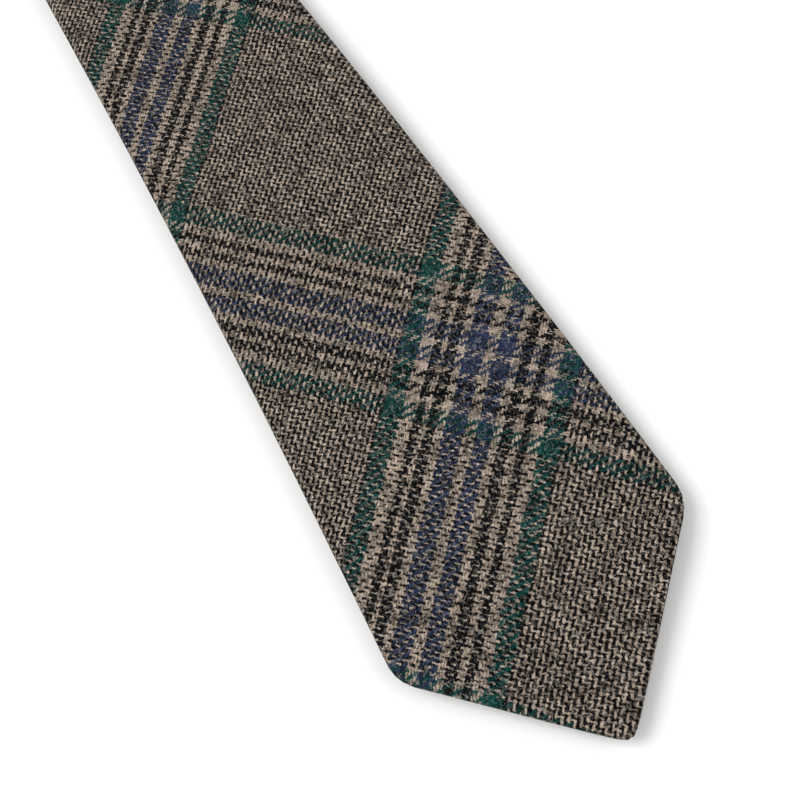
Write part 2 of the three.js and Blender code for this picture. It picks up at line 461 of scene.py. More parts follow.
@dataclass(frozen=True)
class WoolCheck:
    """Brushed woollen twill, woven in a large check of tan, black, blue and green."""

    tan: Colour = (0.300, 0.240, 0.192)
    black: Colour = (0.0030, 0.0030, 0.0042)
    blue: Colour = (0.018, 0.028, 0.060)
    green: Colour = (0.0035, 0.042, 0.037)
    stray: Colour = (0.33, 0.30, 0.26)
    warp_pitch: float = 0.691 * MM
    weft_pitch: float = 0.645 * MM
    warp_ground: int = 99
    weft_ground: int = 89
    warp_cover: float = 0.60
    matting: float = 2.2  # how unevenly the nap breaks up the darker yarn's colour, matted nap and painted shade, over the lighter one
    lit_or_bare_from: float = 1.36  # the height, with its nap, from which a yarn shows its own colour; below it, the darker yarn's colour shows as matted nap and painted shade

    def dye(self, yarn: Yarn) -> tuple[float, float, float, float]:
        """A yarn's colour. The ground's alpha is 0, which marks it for its two yarns."""
        if yarn is Yarn.GROUND:
            return (*self.tan, 0.0)
        return (*getattr(self, yarn.value), 1.0)

    def yarn_colour(self, bench: NodeBench, number: Socket, ground: int) -> Socket:
        """The colour of the yarn with that number.

        Args:
            bench: where the nodes go.
            number: the yarn's number.
            ground: how many ground yarns lie between two bands.

        Returns:
            The colour's socket.
        """
        order = (*BAND, (Yarn.GROUND, ground))
        total = sum(count for _, count in order)
        starts = np.cumsum([0, *[count for _, count in order]])[:-1]
        stops = [(float(start) / total, self.dye(yarn)) for start, (yarn, _) in zip(starts, order)]
        middle = bench.math("ADD", bench.math("FLOORED_MODULO", number, float(total)), 0.5)
        ramp = bench.ramp(bench.math("DIVIDE", middle, float(total)), stops)
        odd = bench.math("FLOORED_MODULO", number, 2.0)
        ground_colour = bench.mix(odd, self.tan, self.black)
        return bench.mix(ramp.outputs["Alpha"], ground_colour, ramp.outputs["Color"])

    def material(self, kit: EffectKit) -> bpy.types.Material:
        """Builds the finish.

        Args:
            kit: the shared effects.

        Returns:
            The material.
        """
        made, bench, shader, place = start_material("wool_check")
        pulled = bench.wander(place, place, 900.0, 1.45 * MM, 3.0, 0.6)
        pulled = bench.wander(pulled, place, 95.0, 1.3 * MM, 1.0)
        weave = lay_weave(bench, kit, pulled, self.warp_pitch, self.weft_pitch, self.warp_cover)
        warp = self.yarn_colour(bench, weave.outputs["Warp Yarn"], self.warp_ground)
        weft = self.yarn_colour(bench, weave.outputs["Weft Yarn"], self.weft_ground)
        yarn = bench.math("MULTIPLY_ADD", weave.outputs["Weft Yarn"], 7.0, weave.outputs["Warp Yarn"])
        melange = bench.place_group(kit.melange, place=place, yarn=yarn)
        shade, nap = melange.outputs["Shade"], melange.outputs["Nap"]
        # Below its crown a yarn takes the darker of the two colours: partly the dark yarn's nap matted over
        # it, partly painted shade where the float sinks.
        darker = bench.mix(1.0, weft, warp, "DARKEN")
        crown = bench.math("MULTIPLY_ADD", nap, self.matting, weave.outputs["Height"])
        lit_or_bare_share = bench.spread(crown, self.lit_or_bare_from, self.lit_or_bare_from + 0.32)
        colour = bench.mix(weave.outputs["Warp Up"], weft, warp)
        colour = bench.mix(lit_or_bare_share, darker, colour)
        colour = bench.dim(colour, bench.spread(shade, 0.38, 0.62, 0.16, 1.55))
        # Painted shade: the cloth darker where the weave sinks between the yarns.
        colour = bench.dim(colour, bench.spread(weave.outputs["Height"], 0.0, 0.6, 0.55, 1.0))
        colour = bench.mix(bench.spread(nap, 0.5, 0.75, 0.0, 0.04), colour, self.stray)
        for spacing, share, strength in ((1.3 * MM, 0.50, 0.30), (2.6 * MM, 0.46, 0.42)):
            fibres = bench.place_group(
                kit.stray_fibres, place=place, spacing=spacing, width=0.035, share=share)
            colour = bench.mix(bench.math("MULTIPLY", fibres.outputs[0], strength), colour, self.stray)
        height = bench.math("MULTIPLY_ADD", nap, 0.55, weave.outputs["Height"])
        bench.fill(shader, {
            "Base Color": colour,
            "Roughness": bench.spread(nap, 0.2, 0.8, 0.78, 0.98),
            "Normal": bench.bump(height, 0.75, 0.16 * MM),
            "Specular IOR Level": 0.03,
            "Sheen Weight": 0.01,
            "Sheen Roughness": 0.55,
            "Sheen Tint": (0.85, 0.78, 0.7, 1.0),
        })
        return made


@dataclass(frozen=True)
class WoolCanvas:
    """Undyed brushed canvas, the ply that gives the tie its body."""

    light: Colour = (0.66, 0.60, 0.48)
    dark: Colour = (0.40, 0.35, 0.26)
    pitch: float = 0.8 * MM

    def material(self, kit: EffectKit) -> bpy.types.Material:
        """Builds the finish from the shared effects."""
        made, bench, shader, place = start_material("wool_canvas")
        weave = lay_weave(bench, kit, place, self.pitch, self.pitch, 0.5)
        melange = bench.place_group(kit.melange, place=place, yarn=weave.outputs["Warp Yarn"])
        tone = bench.spread(melange.outputs["Shade"], 0.25, 0.75)
        colour = bench.mix(tone, self.dark, self.light)
        fibres = bench.place_group(kit.stray_fibres, place=place, spacing=1.8 * MM, width=0.04, share=0.5)
        colour = bench.mix(bench.math("MULTIPLY", fibres.outputs[0], 0.5), colour, (0.8, 0.76, 0.68))
        height = bench.math("MULTIPLY_ADD", melange.outputs["Nap"], 0.4, weave.outputs["Height"])
        bench.fill(shader, {
            "Base Color": colour,
            "Roughness": bench.spread(tone, 0.0, 1.0, 0.82, 0.97),
            "Normal": bench.bump(height, 0.6, 0.15 * MM),
            "Specular IOR Level": 0.2,
        })
        return made


@dataclass(frozen=True)
class SatinLining:
    """Dark satin of the tippings: long floats that lie one way, with fine cross ribs."""

    deep: Colour = (0.012, 0.010, 0.009)
    bright: Colour = (0.034, 0.028, 0.024)
    pitch: float = 0.22 * MM

    def material(self, kit: EffectKit) -> bpy.types.Material:
        """Builds the finish from the shared effects."""
        made, bench, shader, place = start_material("satin_lining")
        weave = lay_weave(bench, kit, place, self.pitch, self.pitch * 2.5, 0.85)
        melange = bench.place_group(kit.melange, place=place, yarn=weave.outputs["Warp Yarn"])
        tone = bench.spread(melange.outputs["Shade"], 0.3, 0.7)
        broad = bench.noise(place, 60.0, 2.0).outputs["Fac"]
        fine = bench.bump(weave.outputs["Height"], 0.4, 0.03 * MM)
        bench.fill(shader, {
            "Base Color": bench.mix(tone, self.deep, self.bright),
            "Roughness": bench.spread(broad, 0.3, 0.7, 0.38, 0.52),
            "Normal": bench.bump(broad, 0.3, 0.8 * MM, fine),
            "Specular IOR Level": 0.3,
            "Sheen Weight": 0.05,
            "Anisotropic": 0.45,
        })
        return made


@dataclass(frozen=True)
class SewingThread:
    """Dark brown twisted silk thread."""

    # deep is painted shade in the grooves between the plies, bright is painted light on their crowns.
    deep: Colour = (0.018, 0.012, 0.009)
    bright: Colour = (0.105, 0.075, 0.055)
    twist: float = 0.55 * MM

    def material(self, kit: EffectKit) -> bpy.types.Material:
        """Builds the finish from the shared effects. Its place runs along the thread and once round it."""
        made, bench, shader, place = start_material("sewing_thread")
        along, around, _ = bench.split(place)
        once_round = bench.math("DIVIDE", around, MM / 2)
        turns = bench.math("ADD", bench.math("DIVIDE", along, self.twist), once_round)
        ply = bench.math("PINGPONG", turns, 0.5)
        melange = bench.place_group(kit.melange, place=place, yarn=0.0)
        uneven = bench.spread(melange.outputs["Shade"], 0.2, 0.8, 0.55, 1.1)
        # Painted shade in the grooves between the twisted plies and painted light on their crowns, with
        # uneven dye.
        tone = bench.math("MULTIPLY", bench.math("MULTIPLY", ply, 2.0), uneven)
        bench.fill(shader, {
            "Base Color": bench.mix(tone, self.deep, self.bright),
            "Roughness": bench.spread(tone, 0.0, 1.0, 0.62, 0.42),
            "Normal": bench.bump(ply, 0.8, 0.12 * MM),
            "Sheen Weight": 0.2,
        })
        return made


@dataclass
class Wardrobe:
    """Every finish, made once from the shared effects."""

    kit: EffectKit = field(default_factory=EffectKit)

    def __post_init__(self) -> None:
        """Builds the materials."""
        self.wool = WoolCheck().material(self.kit)
        self.canvas = WoolCanvas().material(self.kit)
        self.satin = SatinLining().material(self.kit)
        self.thread = SewingThread().material(self.kit)


# --- the tie's form ---


def smooth_step(value: np.ndarray, low: float, high: float) -> np.ndarray:
    """0 below low, 1 above high, and an even S between them."""
    t = np.clip((value - low) / (high - low), 0.0, 1.0)
    return t * t * (3.0 - 2.0 * t)


def soft_min(first: np.ndarray, second: np.ndarray, reach: float) -> np.ndarray:
    """The lower of two values, rounded off where they lie within reach of each other."""
    t = np.maximum(reach - np.abs(first - second), 0.0) / reach
    return np.minimum(first, second) - t * t * reach / 4.0


def bisect(inside: Callable[[np.ndarray], np.ndarray], high: np.ndarray) -> np.ndarray:
    """The largest value for which inside still holds, between 0 and high.

    Args:
        inside: says for each entry whether its value is still inside.
        high: the upper end for each entry.

    Returns:
        The value for each entry.
    """
    low, high = np.zeros_like(high), high.copy()
    for _ in range(40):
        middle = (low + high) / 2
        held = inside(middle)
        low, high = np.where(held, middle, low), np.where(held, high, middle)
    return low


@dataclass
class TieForm:
    """The tie's outline, section and lie.

    A place on the tie is s, the distance from the front point along the tie, x across it, and h, the height
    from its back to its front. The front layer lies on the tail layer, and the neck bends round between them.
    """

    point_round: float = 1.5 * MM
    corner_round: float = 3.5 * MM
    front_taper_end: float = 0.575
    tail_taper: float = 0.420
    hem: float = 9.0 * MM
    front_vee: float = 0.125
    tail_vee: float = 0.062
    seam_gap: float = 0.45 * MM
    droop: float = 2.4 * MM
    bow: float = 0.105  # sideways bend of the blade, in 1/m
    bow_start: float = 0.040
    bow_end: float = 0.280

    def __post_init__(self) -> None:
        """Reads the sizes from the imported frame."""
        front_low, front_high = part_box("front_blade_shell")
        tail_low, tail_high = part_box("tail_blade_shell")
        _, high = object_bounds()
        self.thickness = front_high.z - front_low.z
        self.layer_gap = front_low.z - tail_high.z
        self.blade_half = front_high.x
        self.tail_half = tail_high.x
        self.neck_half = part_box("neck_shell_tail")[1].x
        self.bend_y = high.y - high.z / 2
        self.start_y = front_low.y - self.point_round
        self.front_run = self.bend_y - self.start_y
        self.bend_run = math.pi * (self.layer_gap + self.thickness) / 2
        self.length = 2 * self.front_run + self.bend_run - (tail_low.y - self.point_round - self.start_y)
        self.front_hinge = self.joint_place("front_fold")
        self.neck_hinge = self.joint_place("neck_fold")
        self.tail_hinge = self.joint_place("tail_fold")
        self.front_seam = self.middle_y("front_bias_seam") - self.start_y
        self.tail_seam = (
            2 * self.front_run + self.bend_run - self.middle_y("tail_bias_seam") + self.start_y)

    @staticmethod
    def middle_y(node: str) -> float:
        """The middle of a node along the tie."""
        low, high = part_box(node)
        return (low.y + high.y) / 2

    @staticmethod
    def joint_place(name: str) -> Vector:
        """Where a joint's axis passes."""
        return Vector(next(joint["pos_m"] for joint in frame["joints"] if joint["name"] == name))

    def taper(self, s: np.ndarray) -> np.ndarray:
        """Half the width between the points, at s."""
        tail_start = self.length - self.tail_taper
        places = (self.blade_half, self.front_taper_end, tail_start, self.length - self.tail_half)
        return np.interp(s, places, (self.blade_half, self.neck_half, self.neck_half, self.tail_half))

    def end_distance(self, s: np.ndarray) -> np.ndarray:
        """Distance along the tie to the nearer point."""
        return np.minimum(s, self.length - s)

    def edge_distances(self, s: np.ndarray, x: np.ndarray) -> tuple[np.ndarray, np.ndarray, np.ndarray]:
        """Distances inward from the edges.

        Args:
            s: places along the tie.
            x: places across it.

        Returns:
            The distance from the side, the distance from the pointed end, and the side's slope.
        """
        slope = (self.taper(s + MM) - self.taper(s - MM)) / (2 * MM)
        side = (self.taper(s) - np.abs(x)) / np.sqrt(1 + slope**2)
        blunt = np.sqrt(x**2 + self.point_round**2)
        return side, (self.end_distance(s) - blunt) / math.sqrt(2), slope

    def inward(self, s: np.ndarray, x: np.ndarray) -> np.ndarray:
        """Distance inward from the rounded outline."""
        side, end, _ = self.edge_distances(s, x)
        return soft_min(side, end, self.corner_round)

    def half_width(self, s: np.ndarray, inset: float = 0.0) -> np.ndarray:
        """Half the width at s of the outline, moved in by inset."""
        s = np.asarray(s, float)
        return bisect(lambda x: self.inward(s, x) > inset, self.taper(s))

    def point_inset(self, inset: float = 0.41 * MM) -> float:
        """Distance along the tie from a point to where the cloth's middle starts."""
        return float(bisect(lambda s: self.inward(s, np.zeros(1)) < inset, np.array([self.tail_half]))[0])

    def half_opening(self, s: np.ndarray) -> np.ndarray:
        """Half the gap between the two back flaps at s: the hem, then the inverted vee, then the seam."""
        end = self.end_distance(s)
        front = s < self.length / 2
        corner = np.where(front, self.blade_half, self.tail_half)
        vee = np.where(front, self.front_vee, self.tail_vee)
        hem = self.hem * math.sqrt(2)
        along_vee = (corner - hem) + (end - corner) / (vee - corner) * (self.seam_gap - corner + hem)
        return np.maximum(self.seam_gap, np.minimum(end - hem, along_vee))

    def bow_shift(self, s: np.ndarray) -> np.ndarray:
        """How far the blade bows sideways at s."""
        return self.bow * (s - self.bow_start) * (self.bow_end - s) * (s < self.bow_end)

    def place(self, s: np.ndarray, x: np.ndarray, h: np.ndarray) -> np.ndarray:
        """The point for a place on the tie, as it lies.

        Args:
            s: distance along the tie from the front point.
            x: distance across it.
            h: height from the back of the cloth to its front.

        Returns:
            The points, with a last axis of three.
        """
        s, x, h = np.broadcast_arrays(*(np.asarray(value, float) for value in (s, x, h)))
        turn = np.clip((s - self.front_run) / self.bend_run, 0.0, 1.0) * math.pi
        past = np.maximum(s - self.front_run - self.bend_run, 0.0)
        before = np.minimum(s, self.front_run)
        radius = self.layer_gap / 2 + h
        middle = self.thickness + self.layer_gap / 2
        y = self.start_y + before + radius * np.sin(turn) - past
        z = middle + radius * np.cos(turn)
        front = s < self.front_run
        wing = smooth_step(np.abs(x), self.tail_half, self.blade_half * 1.1)
        tip = 1.0 - smooth_step(s, 0.004, self.blade_half * 1.6)
        fade = 1.0 - smooth_step(s, self.front_taper_end - 0.3, self.front_taper_end - 0.2)
        fall = self.droop * np.maximum(wing, tip) * fade + self.ripple(s, x)
        z = z - np.where(front, fall, 0.0)
        return np.stack([x + self.bow_shift(s), y, z], axis=-1)

    def ripple(self, s: np.ndarray, x: np.ndarray) -> np.ndarray:
        """Shallow, broad waves where the blade's cloth lies loose, 0 near the folds."""
        hinge = self.front_hinge.y - self.start_y
        fade = smooth_step(np.abs(s - hinge), 0.015, 0.06) * (1 - smooth_step(s, 0.5, 0.6))
        wave = np.sin(s * 52.0 + x * 38.0) * np.sin(s * 17.0 - x * 61.0 + 0.7)
        return 0.22 * MM * (1 + wave) * fade

    def flat_place(self, s: np.ndarray, x: np.ndarray, back: np.ndarray, radius: float,
                   inset: float) -> tuple[np.ndarray, np.ndarray]:
        """Where a point of the folded cloth lay in the flat cut.

        Args:
            s: places along the tie.
            x: places across it.
            back: whether each lies on the back flaps.
            radius: the radius that the cloth rolls round at its edges.
            inset: how far the cloth's middle lies inside the outline.

        Returns:
            The place across and the place along, in the flat cloth.
        """
        side, end, slope = self.edge_distances(s, x)
        deep = np.maximum(soft_min(side, end, self.corner_round) - inset, 0.0)
        arc = np.where(deep < radius, radius * np.arccos(np.clip((radius - deep) / radius, -1, 1)),
                       deep - radius + radius * math.pi / 2)
        slack = radius * (math.pi / 2 - 1)
        out = slack + deep + np.where(back, arc, -arc)
        at_side = side < end
        size = np.sqrt(1 + slope**2)
        across = np.where(at_side, 1 / size, math.sqrt(0.5))
        toward_end = np.where(s < self.length / 2, -1.0, 1.0) * math.sqrt(0.5)
        along = np.where(at_side, -slope / size, toward_end)
        return x + np.sign(x) * across * out + self.bow_shift(s), s + along * out


# --- mesh building ---


def make_object(name: str, points: np.ndarray, faces: np.ndarray, uv: np.ndarray,
                material: bpy.types.Material) -> bpy.types.Object:
    """Makes a mesh object.

    Args:
        name: the piece's name.
        points: its points, one row each.
        faces: its quads or triangles, as rows of point numbers; a triangle repeats its last.
        uv: each point's place in the flat cloth.
        material: its finish.

    Returns:
        The object, with its map of places.
    """
    mesh = bpy.data.meshes.new(name)
    rows = [[n for i, n in enumerate(face) if i == 0 or n != face[i - 1]] for face in faces.tolist()]
    mesh.from_pydata(points.tolist(), [], rows)
    layer = mesh.uv_layers.new(name=THREAD_MAP)
    corners = np.empty(len(mesh.loops), np.int32)
    mesh.loops.foreach_get("vertex_index", corners)
    layer.uv.foreach_set("vector", uv[corners].astype(np.float32).ravel())
    mesh.polygons.foreach_set("use_smooth", np.ones(len(mesh.polygons), bool))
    mesh.materials.append(material)
    mesh.update()
    made = bpy.data.objects.new(name, mesh)
    bpy.context.scene.collection.objects.link(made)
    LOG.info("%s: %d faces", name, len(mesh.polygons))
    return made


def grid_faces(rows: int, columns: int, first: int = 0, round_columns: bool = False) -> np.ndarray:
    """Quads of a grid of points.

    Args:
        rows: how many rows of points it has.
        columns: how many points there are in a row.
        first: the number of its first point.
        round_columns: whether each row closes on itself.

    Returns:
        The quads as rows of point numbers.
    """
    numbers = np.arange(rows * columns).reshape(rows, columns) + first
    nexts = np.roll(numbers, -1, axis=1) if round_columns else numbers[:, 1:]
    heres = numbers if round_columns else numbers[:, :-1]
    quads = np.stack([heres[:-1], nexts[:-1], nexts[1:], heres[1:]], axis=-1)
    return quads.reshape(-1, 4)


@dataclass
class ClothSheet:
    """A thin closed sheet on a grid of middle points, whose free edges are rounded off."""

    middle: np.ndarray
    flat: np.ndarray
    cloth: float

    def normals(self) -> np.ndarray:
        """The outward direction at each middle point."""
        by_row = np.gradient(self.middle, axis=0)
        by_column = np.gradient(self.middle, axis=1)
        found = np.cross(by_column, by_row)
        size = np.linalg.norm(found, axis=-1, keepdims=True)
        return np.where(size > 1e-12, found / np.maximum(size, 1e-12), 0.0)

    def free_distance(self) -> np.ndarray:
        """Each point's distance to the nearest free edge, along its row or its column."""

        def run(axis: int) -> np.ndarray:
            """The distance from both ends along one axis, the nearer of the two."""
            steps = np.linalg.norm(np.diff(self.middle, axis=axis), axis=-1)
            pad = [(1, 0), (0, 0)] if axis == 0 else [(0, 0), (1, 0)]
            total = np.cumsum(np.pad(steps, pad), axis=axis)
            last = total[-1:] if axis == 0 else total[:, -1:]
            return np.minimum(total, last - total)

        return np.minimum(run(0), run(1))

    def area(self) -> float:
        """The area of the cloth's middle."""
        down = self.middle[1:, :-1] - self.middle[:-1, :-1]
        over = self.middle[:-1, 1:] - self.middle[:-1, :-1]
        return float(np.linalg.norm(np.cross(down, over), axis=-1).sum())

    def build(self, name: str, material: bpy.types.Material) -> bpy.types.Object:
        """Makes the sheet's object, with its face and its back joined along every free edge."""
        rows, columns = self.middle.shape[:2]
        near = np.minimum(self.free_distance() / (self.cloth / 2), 1.0)
        half = (self.cloth / 2 * np.sqrt(np.maximum(1 - (1 - near) ** 2, 0.0)))[..., None]
        lift = self.normals() * half
        edge = np.zeros((rows, columns), bool)
        edge[[0, -1], :] = True
        edge[:, [0, -1]] = True
        front = np.arange(rows * columns).reshape(rows, columns)
        back = front.copy()
        back[~edge] = rows * columns + np.arange(int((~edge).sum()))
        points = np.concatenate([(self.middle + lift).reshape(-1, 3), (self.middle - lift)[~edge]])
        uv = np.concatenate([self.flat.reshape(-1, 2), self.flat[~edge]])
        quads = grid_faces(rows, columns)
        under = back.ravel()[quads][:, ::-1]
        return make_object(name, points, np.concatenate([quads, under]), uv, material)


@dataclass
class ThreadRun:
    """A length of sewing thread along a line of points."""

    line: np.ndarray
    radius: float
    sides: int = 7

    def mesh(self, first: int = 0) -> tuple[np.ndarray, np.ndarray, np.ndarray]:
        """The thread's points, faces and places.

        Args:
            first: the number of its first point.

        Returns:
            Points, faces and the place of each point along and round the thread.
        """
        ahead = np.gradient(self.line, axis=0)
        ahead /= np.maximum(np.linalg.norm(ahead, axis=1, keepdims=True), 1e-12)
        guide = np.array([0.13, 0.29, 0.95])
        side = np.cross(ahead, guide)
        side /= np.linalg.norm(side, axis=1, keepdims=True)
        up = np.cross(side, ahead)
        angles = np.linspace(0, 2 * math.pi, self.sides, endpoint=False)
        size = np.full(len(self.line), self.radius)
        size[[0, -1]] *= 0.55
        ring = side[:, None] * np.cos(angles)[None, :, None] + up[:, None] * np.sin(angles)[None, :, None]
        points = self.line[:, None] + ring * size[:, None, None]
        length = np.concatenate([[0.0], np.cumsum(np.linalg.norm(np.diff(self.line, axis=0), axis=1))])
        around = np.abs(angles / math.pi - 1.0) * MM / 2
        uv = np.stack(np.broadcast_arrays(length[:, None], around[None, :]), axis=-1)
        count = len(self.line)
        faces = grid_faces(count, self.sides, first, round_columns=True)[:, ::-1]
        ends = []
        for row, flip in ((0, False), (count - 1, True)):
            base = first + row * self.sides
            fan = [[base, base + i, base + i + 1, base + i + 1] for i in range(1, self.sides - 1)]
            ends += [[face[0], face[2], face[1], face[1]] for face in fan] if flip else fan
        return points.reshape(-1, 3), np.concatenate([faces, np.array(ends)]), uv.reshape(-1, 2)


def sew(name: str, runs: Sequence[ThreadRun], material: bpy.types.Material) -> bpy.types.Object:
    """Makes one piece of several lengths of thread.

    Args:
        name: the piece's name.
        runs: the lengths.
        material: the finish.

    Returns:
        The object.
    """
    meshes, first = [], 0
    for run in runs:
        meshes.append(run.mesh(first))
        first += len(meshes[-1][0])
    piece = make_object(name, *(np.concatenate(part) for part in zip(*meshes)), material)
    return piece


# --- shell cloth ---


@dataclass(frozen=True)
class Grain:
    """How the threads of a cut lie: the angles of warp and weft to the tie, and where the check starts."""

    warp_angle: float = math.radians(44.9)
    weft_angle: float = math.radians(40.5)
    warp_start: float = -75.7 * MM
    weft_start: float = 56.2 * MM

    def threads(self, across: np.ndarray, along: np.ndarray) -> np.ndarray:
        """The place in thread coordinates of a place in the flat cut."""
        warp = across * math.cos(self.warp_angle) - along * math.sin(self.warp_angle) - self.warp_start
        weft = across * math.cos(self.weft_angle) + along * math.sin(self.weft_angle) - self.weft_start
        return np.stack([warp, weft], axis=-1)


class Finish(Enum):
    """How a length of shell cloth ends."""

    POINT = "point"
    SEAM = "seam"


@dataclass
class ShellCut:
    """One cut of the woollen shell, folded round to the back of the tie."""

    form: TieForm
    name: str
    start: float
    end: float
    start_finish: Finish
    end_finish: Finish
    grain: Grain = Grain()
    cloth: float = 0.8 * MM
    step: float = 2.3 * MM
    front_columns: int = 44
    back_columns: int = 22
    roll_columns: int = 7
    seam_reach: float = 0.085
    bend_step: float = 0.4 * MM

    def rows(self) -> np.ndarray:
        """Places of the rows along the tie, closer together at a point, a free end and the neck's bend."""
        near = np.array([0.0, 0.03, 0.1, 0.2, 0.35, 0.6, 1.0, 1.5, 2.1, 2.8]) * MM

        def lead(finish: Finish) -> np.ndarray:
            """How far from an end the rows near it lie."""
            return near if finish is Finish.POINT else near[[0, 2, 3, 5, 7]]

        start, end = self.start + lead(self.start_finish), self.end - lead(self.end_finish)
        bend_start = self.form.front_run - MM
        bend_end = self.form.front_run + self.form.bend_run + MM
        spacing = []
        for low, high, step in (
            (start[-1], bend_start, self.step),
            (bend_start, bend_end, self.bend_step),
            (bend_end, end[-1], self.step),
        ):
            low, high = max(low, start[-1]), min(high, end[-1])
            if high > low:
                spacing.append(np.linspace(low, high, max(2, int(round((high - low) / step)) + 1)))
        return np.unique(np.round(np.concatenate([start, *spacing, end]), 8))

    def slant(self, rows: np.ndarray) -> np.ndarray:
        """How much of the bias slant each row has: all of it at a seam, none further than its reach."""
        share = np.zeros_like(rows)
        if self.start_finish is Finish.SEAM:
            share = np.maximum(share, 1 - smooth_step(rows, self.start, self.start + self.seam_reach))
        if self.end_finish is Finish.SEAM:
            share = np.maximum(share, smooth_step(rows, self.end - self.seam_reach, self.end))
        return share

    def sheet(self) -> ClothSheet:
        """The folded sheet: each row runs from one flap's edge, round the front, to the other's."""
        form = self.form
        radius, inset = (form.thickness - self.cloth) / 2, self.cloth / 2
        rows = self.rows()
        base_half = form.half_width(rows, inset)
        slopes = np.gradient(base_half, rows)
        roll = np.minimum(radius * np.sqrt(1 + np.clip(slopes, -1.2, 1.2) ** 2), 0.6 * base_half)
        opening = np.minimum(form.half_opening(rows), 0.85 * (base_half - roll))
        turn = np.linspace(0, math.pi / 2, self.roll_columns + 1)
        edge = np.array([0.0, 0.04, 0.14, 0.4]) * MM
        share = np.linspace(0, 1, self.back_columns)
        flap = (base_half - roll - opening)[:, None]
        lead = np.minimum(edge[None, :], flap * 0.3 * edge[None, :] / edge[-1])
        beyond = lead[:, -1:] + (flap - lead[:, -1:]) * share[1:]
        flat_back = opening[:, None] + np.concatenate([lead, beyond], 1)
        rolled = (base_half - roll)[:, None] + roll[:, None] * np.sin(turn[1:])[None, :]
        half_front = (base_half - roll)[:, None] * np.linspace(0, 1, self.front_columns // 2)[None, :]
        right = np.concatenate([half_front, rolled, rolled[:, -2::-1], flat_back[:, ::-1]], 1)
        is_back = np.zeros(right.shape[1], bool)
        is_back[half_front.shape[1] + self.roll_columns:] = True
        x = np.concatenate([-right[:, :0:-1], right], 1)
        back = np.broadcast_to(np.concatenate([is_back[:0:-1], is_back]), x.shape)
        s = np.broadcast_to(rows[:, None], x.shape)
        girth, _ = form.flat_place(s, x, back, radius, inset)
        share_x = x / base_half[:, None]
        s = s + self.slant(rows)[:, None] * girth
        x = share_x * form.half_width(s.ravel(), inset).reshape(s.shape)
        deep = np.maximum(form.inward(s, x) - inset, 0.0)
        bulge = np.sqrt(np.maximum(radius**2 - (radius - np.minimum(deep, radius)) ** 2, 0.0))
        h = form.thickness / 2 + np.where(back, -bulge, bulge)
        across, along = form.flat_place(s, x, back, radius, inset)
        return ClothSheet(form.place(s, x, h), self.grain.threads(across, along), self.cloth)

    def build(self, wardrobe: Wardrobe) -> bpy.types.Object:
        sheet = self.sheet()
        piece = sheet.build(self.name, wardrobe.wool)
        area = sheet.area()
        widest = float(np.max(self.form.taper(np.array([self.start, self.end]))))
        return piece


@dataclass
class FlatPly:
    """A ply that lies flat inside the tie: interlining or tipping."""

    form: TieForm
    name: str
    start: float
    end: float
    height: float
    cloth: float
    margin: float = 2.3 * MM
    step: float = 3.0 * MM
    columns: int = 30

    def build(self, material: bpy.types.Material, slot: str) -> bpy.types.Object:
        form = self.form
        near = np.array([0.0, 0.06, 0.2, 0.5]) * MM
        count = int(round((self.end - self.start) / self.step))
        inner = np.linspace(self.start + MM, self.end - MM, count)
        rows = np.concatenate([self.start + near, inner, self.end - near[::-1]])
        half = form.half_width(rows, self.margin)
        edge = np.array([0, 0.002, 0.008, 0.02])
        share = np.concatenate([edge, np.linspace(0.05, 0.95, self.columns), 1 - edge[::-1]])
        x = half[:, None] * (2 * share - 1)[None, :]
        s = np.broadcast_to(rows[:, None], x.shape)
        wave = 0.07 * MM * np.sin(s * 190 + np.sin(x * 120) * 1.5) * np.cos(x * 150)
        sheet = ClothSheet(form.place(s, x, self.height + wave), np.stack([x, s], -1), self.cloth)
        piece = sheet.build(self.name, material)
        return piece


CANVAS_HEIGHT, CANVAS_CLOTH, CANVAS_INSET = 2.05 * MM, 0.9 * MM, 14 * MM
LINING_HEIGHT, LINING_CLOTH, LINING_INSET = 1.2 * MM, 0.3 * MM, 6.5 * MM


# --- sub-assemblies ---


@dataclass
class BodyPair:
    """The two bodies that a piece of cloth crosses at a fold, and where it bends between them."""

    near: str
    far: str
    start: Vector
    end: Vector

    def carry(self, piece: bpy.types.Object, *nodes: str) -> None:
        """Hides the CAD nodes on both bodies that a piece stands for, and bakes its transform into its mesh.
        """
        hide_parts(*nodes)
        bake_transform(piece)


@dataclass
class FoldPlan:
    """Where the three folds start and end, and the bodies on either side of each."""

    form: TieForm
    fold_reach: float = 7.5 * MM

    def __post_init__(self) -> None:
        """Works out where each fold starts and ends."""
        front, neck, tail = self.form.front_hinge, self.form.neck_hinge, self.form.tail_hinge
        reach, gap = Vector((0, self.fold_reach, 0)), Vector((0, 0, self.form.layer_gap / 2))
        self.front = BodyPair("front_blade", "front_upper", front - reach, front + reach)
        self.tail = BodyPair("tail_upper", "tail_blade", tail + reach, tail - reach)
        self.neck = BodyPair("front_upper", "tail_upper", neck + gap, neck - gap)


